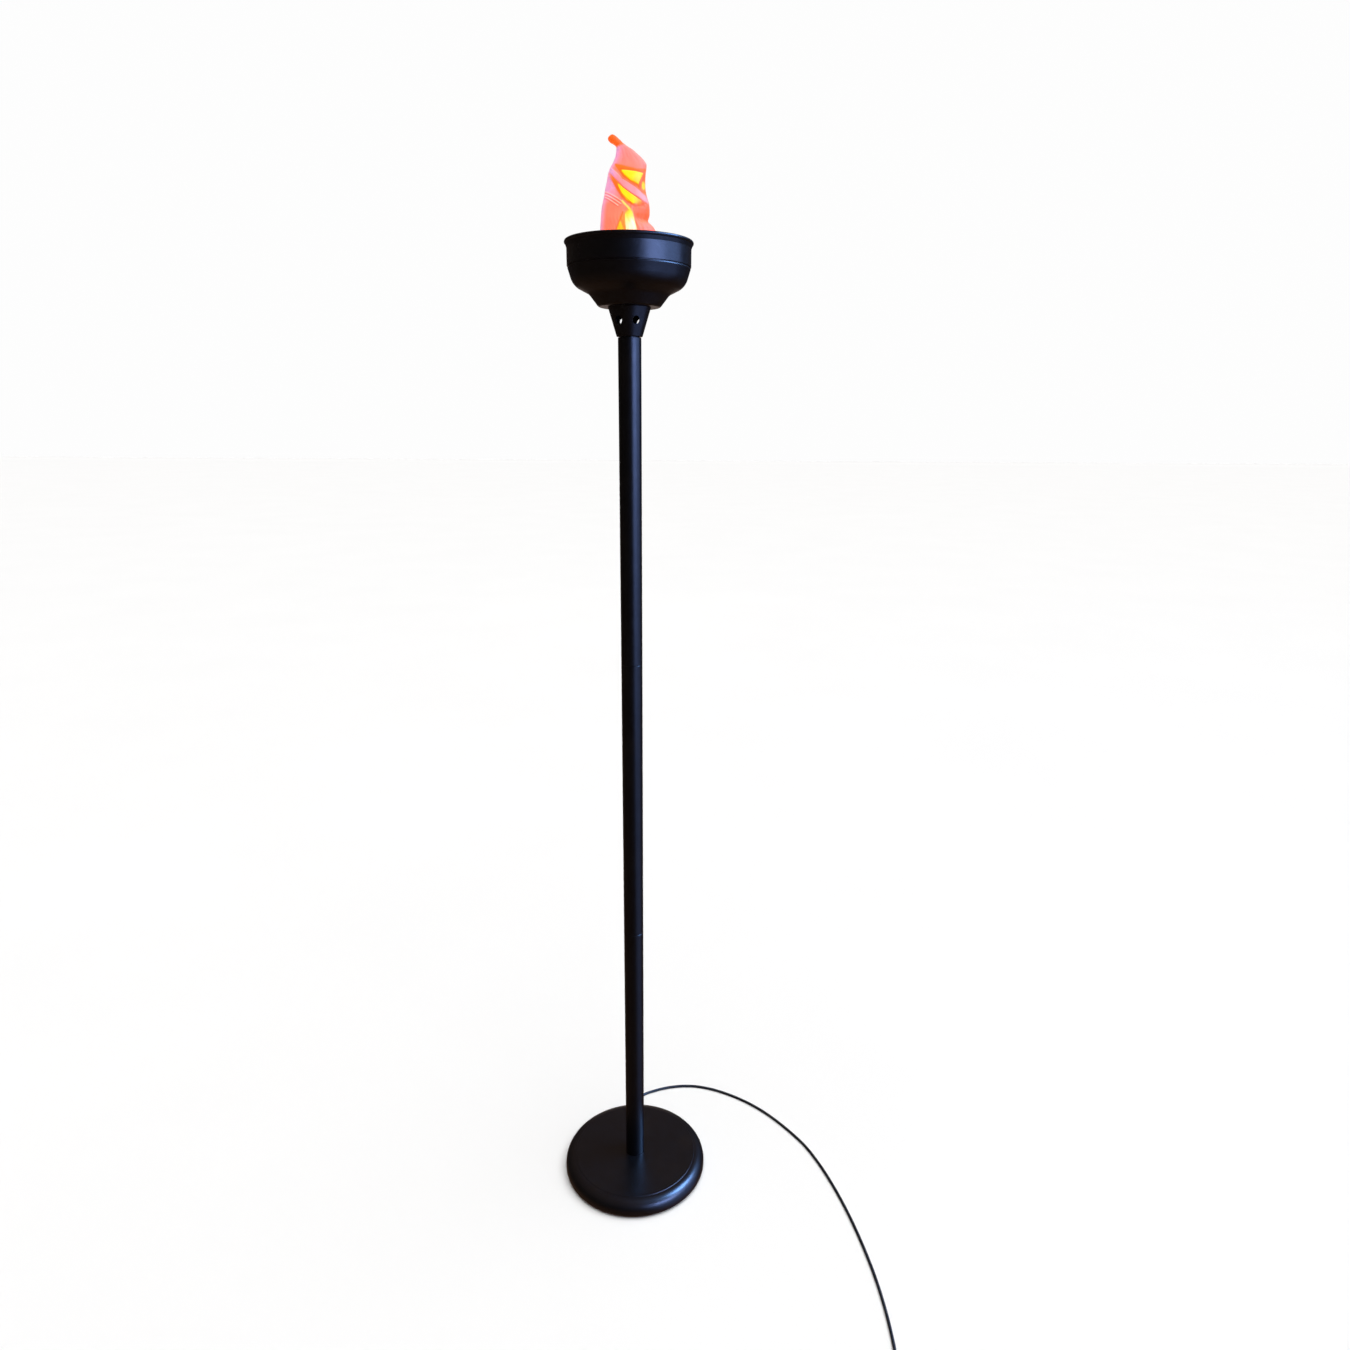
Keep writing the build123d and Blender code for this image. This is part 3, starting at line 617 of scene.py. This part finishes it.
def cover(colour, over, share):
    """Lay a colour over another."""
    return tuple(lerp(a, b, share) for a, b in zip(colour, over))


def ground_colours(x, z):
    """Salmon cloth, pinker towards the tip and lilac along its left edge."""
    left = along(SHAPE, z)[0]
    c = cover(SALMON, PINK, 0.35 * step(1735, 1760, z))
    c = cover(c, PINK, 0.8 * (1 - step(left + 6, left + 15, x)) * step(1742, 1750, z))
    c = cover(c, LILAC, 0.9 * (1 - step(left + 1.5, left + 9.5, x)))
    c = cover(c, LILAC, 0.95 * blob(x, z, *LEFT_HAZE))
    return cover(c, PINK, 0.6 * blob(x, z, *LEFT_FLUSH))


def window_colours(c, x, z):
    """Orange window above the long fold, with a large yellow pane and a small one beside it: the inner
    layer's dye with painted glow, brightest in the panes, and lines of painted crease shade at the window's
    brow and side.
    """
    c = cover(c, ORANGE, between(WINDOW_FOOT, WINDOW_TOP, x, z, 1.2))
    c = cover(c, CREASE_SHADE, 0.5 * stroke(x, z, *WINDOW_BROW, 1.8))
    c = cover(c, CREASE_SHADE, 0.75 * stroke(x, z, *WINDOW_SIDE, 1.8))
    pane = between(PANE_FOOT, PANE_TOP, x, z, 0.8)
    c = cover(c, YELLOW, pane)
    c = cover(c, GOLD, pane * 0.5 * blob(x, z, *PANE_CORNER))
    c = cover(c, AMBER, blob(x, z, *SIDE_PANE))
    return cover(c, DEEP_ORANGE, 0.9 * blob(x, z, *SIDE_PANE_FOOT))


def band_colours(c, x, z):
    """Orange band below the long fold, its yellow core of painted glow, and the bulge at its right end."""
    c = cover(c, ORANGE, between(BAND_FOOT, FOLD_FOOT, x, z, 1.6) * step(-29, -20, x))
    core = between(CORE_FOOT, CORE_TOP, x, z, 1.0)
    c = cover(c, cover(YELLOW, GOLD, step(5, 15, x)), core)
    c = cover(c, EMBER, 0.95 * blob(x, z, *BULGE))
    return cover(c, BLUSH, 0.85 * blob(x, z, *BULGE_SIDE))


def fold_colours(c, x, z):
    """The long fold across the flame, with lines of painted shade where it overhangs and along the core's
    sides.
    """
    tone = cover(cover(LILAC, PINK, step(-24, -12, x)), ROSE, step(12, 24, x))
    c = cover(c, tone, between(FOLD_FOOT, FOLD_TOP, x, z, 0.9))
    above = 0.8 * step(-14, -7, x) * (1 - step(17, 24, x))
    for start, end in zip(FOLD_TOP[1:], FOLD_TOP[2:]):
        c = cover(c, CREASE_SHADE, above * stroke(x, z, start, end, 1.3))
    below = 0.55 * step(-20, -12, x) * (1 - step(12, 20, x))
    for start, end in zip(FOLD_FOOT, FOLD_FOOT[1:]):
        c = cover(c, OVERHANG_SHADE, below * stroke(x, z, start, end, 1.2))
    for start, end in CORE_SIDES:
        c = cover(c, CREASE_SHADE, 0.5 * stroke(x, z, start, end, 1.3))
    return c


def tuck_colours(c, x, z):
    """Thin tucks at the left, each with a painted highlight along it and a line of painted shade under it.
    """
    under = 1.6
    for start, end in TUCKS:
        low_start, low_end = (start[0], start[1] - under), (end[0], end[1] - under)
        c = cover(c, TUCK_SHADE, 0.5 * stroke(x, z, low_start, low_end, 1.1))
        c = cover(c, TUCK_LIGHT, 0.8 * stroke(x, z, start, end, 0.85))
    return c


def arch_colours(c, x, z):
    """Painted glow left of the pillar and along the pale tongue that joins pillar and tucks, with lines of
    painted crease shade beside them.
    """
    c = cover(c, APRICOT, 0.8 * blob(x, z, *ARCH_GLOW) * (1 - step(1682, 1690, z)))
    c = cover(c, CREASE_SHADE, 0.6 * stroke(x, z, *ARCH_LEFT, 1.2))
    c = cover(c, CREASE_SHADE, 0.6 * stroke(x, z, *TONGUE_LEFT, 1.2))
    c = cover(c, STRAW, stroke(x, z, *TONGUE, 2.0))
    return cover(c, CREASE_SHADE, 0.5 * stroke(x, z, *TONGUE_RIGHT, 1.2))


def pillar_colours(c, x, z):
    """Painted glow: a bright pillar above the light, wide at the foot and pointed at the top, with a line
    of painted crease shade at its side.
    """
    left = lerp(-3.0, -5.6, step(1640, 1684, z))
    right = lerp(13.5, 5.5, step(1645, 1688, z))
    pillar = step(left - 1, left + 1, x) * (1 - step(right - 1, right + 1, x))
    pillar *= 1 - step(1683, 1692, z + abs(x - 1.5) * 0.9)
    c = cover(c, CREASE_SHADE, 0.45 * stroke(x, z, *PILLAR_SIDE, 1.5))
    c = cover(c, cover(PALE, LEMON, step(1664, 1688, z)), pillar)
    return cover(c, CREAM, pillar * blob(x, z, *PILLAR_HEART))


def foot_colours(c, x, z):
    """Golden dart of painted glow at the left of the foot, painted shade in the notch, and the coral puff
    at its right.
    """
    dart_top = DART[0][1]
    dart = stroke(x, z, *DART, 1.0 + 0.42 * max(0.0, dart_top - z))
    c = cover(c, DART_GOLD, 0.95 * min(1.0, 1.6 * dart) * (1 - step(1668, 1672.5, z)))
    c = cover(c, CREASE_SHADE, 0.35 * blob(x, z, *NOTCH))
    return cover(c, CORAL, 0.8 * blob(x, z, *RIGHT_FOOT))


def tip_colours(c, x, z):
    """The rolled tip is plain orange above a slanting edge."""
    return cover(c, TIP_ORANGE, step(1768.5, 1773, z - 0.35 * (x + 12)))


def silk_colour(x, z):
    """Colour of the lit silk at a point seen from the front, 0 to 255: its dye with painted glow and
    painted shade.
    """
    c = ground_colours(x, z)
    layers = (
        window_colours,
        band_colours,
        fold_colours,
        tuck_colours,
        arch_colours,
        pillar_colours,
        foot_colours,
        tip_colours,
    )
    for layer in layers:
        c = layer(c, x, z)
    return c


def silk_push(x, z):
    """How far the folds stand out from the cloth at a point seen from the front, in mm."""
    push = 3.2 * between(FOLD_FOOT, FOLD_TOP, x, z, 1.5)
    push -= 2.4 * between(PANE_FOOT, PANE_TOP, x, z, 1.5)
    push -= 2.2 * between(BAND_FOOT, FOLD_FOOT, x, z, 1.8)
    push += 2.0 * blob(x, z, *BULGE_RISE)
    push -= 1.6 * blob(x, z, *NOTCH_DIP)
    push += 1.6 * blob(x, z, *RIGHT_FOOT_RISE)
    push += 1.5 * stroke(x, z, *PILLAR_RIDGE, 6.0)
    push -= 1.0 * stroke(x, z, *ARCH_VALLEY, 2.5)
    for start, end in TUCKS:
        push += 1.1 * stroke(x, z, start, end, 1.5)
    push -= 1.2 * stroke(x, z, *WINDOW_SIDE, 2.2)
    return push


def to_linear(value):
    """Screen colour 0 to 255 to linear light."""
    value = max(0.0, value) / 255
    return value / 12.92 if value <= 0.04045 else ((value + 0.055) / 1.055) ** 2.4


AROUND, ROWS = 240, 210
PLEATS = 34


def cloth(turn, height):
    """Place in mm and colour of the silk at an angle round the flame and a height."""
    left, right, depth = along(SHAPE, height)
    middle, half = (left + right) / 2, (right - left) / 2
    x = middle + half * math.cos(turn)
    front = math.sin(turn)
    facing = abs(front) ** 0.6
    # the back has the front's folds and colours, turned half round
    seen = x if front >= 0 else left + right - x
    # held tight by the collar and rolled up at the tip, loose between them
    loose = step(COLLAR_TOP, 1640, height) * (1 - step(1762, 1780, height))
    out = silk_push(seen, height) * facing * loose
    pleat = 0.9 * step(1629.2, 1636, height) * (1 - step(1645, 1690, height))
    out += pleat * math.sin(turn * PLEATS + 1.5 * math.sin(turn * 3)) * (0.35 + 0.65 * facing)
    ripple = noise.noise(Vector((math.cos(turn) * 2.2, front * 2.2, height * 0.045)))
    out += 1.6 * ripple * loose * facing
    y = -(depth * front + math.copysign(out, front) * min(1.0, abs(front) * 4))
    # colour as seen from the front, blended where the cloth turns away to the back
    side = (1 - step(0.10, 0.34, abs(front))) * (1 - step(1766, 1772, height))
    edge = cover(LILAC, SALMON, step(middle - 4, middle + 4, x))
    shade = cover(silk_colour(seen, height), edge, 0.55 * side)
    weave = 1 + 0.035 * noise.noise(Vector((turn * 60, height * 0.07, 3)))
    return (x, y, height), tuple(to_linear(c * weave) for c in shade)


def make_silk():
    """One silk cloth, gathered round the collar and blown up into a leaning point."""
    points, colours = [], []
    for row in range(ROWS):
        height = lerp(HEM, TIP, row / (ROWS - 1))
        for column in range(AROUND):
            place, colour = cloth(2 * math.pi * column / AROUND, height)
            points.append(tuple(value * MM for value in place))
            colours.append(colour)
    faces = []
    for row in range(ROWS - 1):
        for column in range(AROUND):
            a = row * AROUND + column
            b = row * AROUND + (column + 1) % AROUND
            faces.append((a, b, b + AROUND, a + AROUND))
    last = (ROWS - 1) * AROUND
    faces.append(tuple(range(last, last + AROUND)))
    mesh = bpy.data.meshes.new("silk")
    mesh.from_pydata(points, [], faces)
    mesh.shade_smooth()
    glow = mesh.color_attributes.new("glow", "FLOAT_COLOR", "POINT")
    for item, colour in zip(glow.data, colours):
        item.color = (*colour, 1)
    silk = link("silk", mesh)
    paint(silk, silk_material())
    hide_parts("silk_flame")
    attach(silk, "torch")


def silk_material():
    """Thin dyed silk, lit from below by painted glow: its colours, which hold painted light and shade, also
    drive its emission; fine weave, soft sheen, light passing through.
    """
    n = Nodes("silk")
    glow = n.add("ShaderNodeVertexColor")
    glow.layer_name = "glow"
    n.join(glow, "Color", n.shader, "Base Color")
    # emission from the colours: painted glow, the silk being no lamp
    n.join(glow, "Color", n.shader, "Emission Color")
    weave = n.add("ShaderNodeTexWave", Scale=700.0, Distortion=1.2)
    n.join(n.where, "Object", weave, "Vector")
    n.bump(weave, "Fac", 0.00004, 0.6)
    n.set(Roughness=0.55, Emission_Strength=0.55, Sheen_Weight=0.25, Specular_IOR_Level=0.2)
    through = n.add("ShaderNodeBsdfTranslucent")
    n.join(glow, "Color", through, "Color")
    both = n.add("ShaderNodeMixShader", Fac=0.3)
    n.tree.links.new(n.shader.outputs["BSDF"], both.inputs[1])
    n.tree.links.new(through.outputs["BSDF"], both.inputs[2])
    n.join(both, "Shader", n.output, "Surface")
    return n.material


make_silk()


def make_inner_glow():
    """Amber light that the chips throw up into the silk and the bowl."""
    data = bpy.data.lights.new("inner_glow", "POINT")
    data.energy = 0.08
    data.color = (1.0, 0.5, 0.1)
    data.shadow_soft_size = 0.02
    lamp = link("inner_glow", data)
    lamp.location = (0, 0, 1.645)


make_inner_glow()


# ---------------------------------------------------------------- floor and light
def make_floor():
    """Plain pale floor."""
    mesh = bpy.data.meshes.new("floor")
    half = 30.0
    corners = [(-half, -half, 0), (half, -half, 0), (half, half, 0), (-half, half, 0)]
    mesh.from_pydata(corners, [], [(0, 1, 2, 3)])
    floor = link("floor", mesh)
    n = Nodes("floor")
    shade = n.noise(1.5, 3.0)
    colour = n.ramp(shade, "Fac", [(0.3, (0.815, 0.815, 0.815)), (0.7, (0.825, 0.825, 0.825))])
    n.join(colour, "Color", n.shader, "Base Color")
    n.set(Roughness=0.9, Specular_IOR_Level=0.1)
    mesh.materials.append(n.material)
    floor.location.z = -0.0002
    floor.visible_glossy = False


def area_light(name, place, target, width, height, radiance, colour):
    """Soft rectangular light aimed at a point, seen only in gloss."""
    data = bpy.data.lights.new(name, "AREA")
    data.shape = "RECTANGLE"
    data.size, data.size_y = width, height
    data.energy = radiance * math.pi * width * height
    data.color = colour
    lamp = link(name, data)
    lamp.location = place
    lamp.rotation_mode = "QUATERNION"
    lamp.rotation_quaternion = (Vector(target) - Vector(place)).to_track_quat("-Z", "Y")
    lamp.visible_camera = False
    lamp.visible_diffuse = False
    lamp.visible_transmission = False


WALL_DISTANCE = 6.0
# Azimuth from the front, width, low edge, high edge and radiance of each pane of the window
WINDOW_PANES = [
    (46.0, 4.2, 1.7, 3.6, 17.0),
    (84.0, 4.2, 1.7, 3.6, 4.4),
    (46.0, 4.2, 0.6, 1.7, 5.5),
    (84.0, 4.2, 0.6, 1.7, 2.4),
    (46.0, 4.2, -0.9, 0.6, 2.0),
    (84.0, 4.2, -0.9, 0.6, 1.0),
    (65.0, 8.0, -5.0, -0.9, 0.8),
]
WINDOW_BLUE = (0.27, 0.40, 0.9)
SKY_BLUE = (0.22, 0.45, 1.0)
WALL_BROWN = (0.5, 0.4, 0.36)
# What the gloss sees of the dim room: below, level and above
ROOM_BELOW = (0.13, 0.065, 0.035)
ROOM_LEVEL = (0.031, 0.026, 0.026)
ROOM_ABOVE = (0.18, 0.115, 0.085)
BACKDROP_WHITE = 0.985


def on_wall(azimuth, height):
    """Point on the room's round wall; azimuth in degrees from the front."""
    side = math.radians(azimuth)
    return (WALL_DISTANCE * math.sin(side), -WALL_DISTANCE * math.cos(side), height)


def make_overhead():
    """Wide soft light from above, tuned so that the floor stays a neutral near-white."""
    sun = bpy.data.lights.new("overhead", "SUN")
    sun.energy = 3.78
    sun.angle = math.radians(70)
    sun.color = (0.955, 0.989, 1.0)
    lamp = link("overhead", sun)
    lamp.rotation_euler = (math.radians(8), math.radians(14), 0)
    lamp.visible_glossy = False


def make_reflections():
    """A cool window on the right with the sky above it, and a dim wall behind."""
    for index, (azimuth, width, low, high, radiance) in enumerate(WINDOW_PANES):
        place = on_wall(azimuth, (low + high) / 2)
        target = (0, 0, place[2])
        area_light(f"window_{index}", place, target, width, high - low, radiance, WINDOW_BLUE)
    area_light("sky", on_wall(88, 6.0), (0, 0, 0), 4.5, 3.0, 42.0, SKY_BLUE)
    area_light("back_wall", (0, WALL_DISTANCE, 1.0), (0, 0, 1.0), 2.4, 2.4, 1.0, WALL_BROWN)


def make_room():
    """White backdrop, which the gloss sees as a dim warm room."""
    world = bpy.data.worlds.new("room")
    world.use_nodes = True
    tree = world.node_tree
    tree.nodes.clear()
    output = tree.nodes.new("ShaderNodeOutputWorld")
    mix = tree.nodes.new("ShaderNodeMixShader")
    dim = tree.nodes.new("ShaderNodeBackground")
    pale = tree.nodes.new("ShaderNodeBackground")
    rays = tree.nodes.new("ShaderNodeLightPath")
    where = tree.nodes.new("ShaderNodeTexCoord")
    parts = tree.nodes.new("ShaderNodeSeparateXYZ")
    fade = tree.nodes.new("ShaderNodeValToRGB")
    height = tree.nodes.new("ShaderNodeMapRange")
    height.inputs["From Min"].default_value = -1.0
    fade.color_ramp.elements[0].color = (*ROOM_BELOW, 1)
    fade.color_ramp.elements[1].color = (*ROOM_ABOVE, 1)
    middle = fade.color_ramp.elements.new(0.5)
    middle.color = (*ROOM_LEVEL, 1)
    tree.links.new(where.outputs["Generated"], parts.inputs["Vector"])
    tree.links.new(parts.outputs["Z"], height.inputs["Value"])
    tree.links.new(height.outputs["Result"], fade.inputs["Fac"])
    tree.links.new(fade.outputs["Color"], dim.inputs["Color"])
    pale.inputs["Color"].default_value = (1, 1, 1, 1)
    pale.inputs["Strength"].default_value = BACKDROP_WHITE
    tree.links.new(rays.outputs["Is Camera Ray"], mix.inputs["Fac"])
    tree.links.new(dim.outputs["Background"], mix.inputs[1])
    tree.links.new(pale.outputs["Background"], mix.inputs[2])
    tree.links.new(mix.outputs["Shader"], output.inputs["Surface"])
    bpy.context.scene.world = world
    bpy.context.scene.view_settings.view_transform = "Standard"


make_floor()
make_overhead()
make_reflections()
make_room()
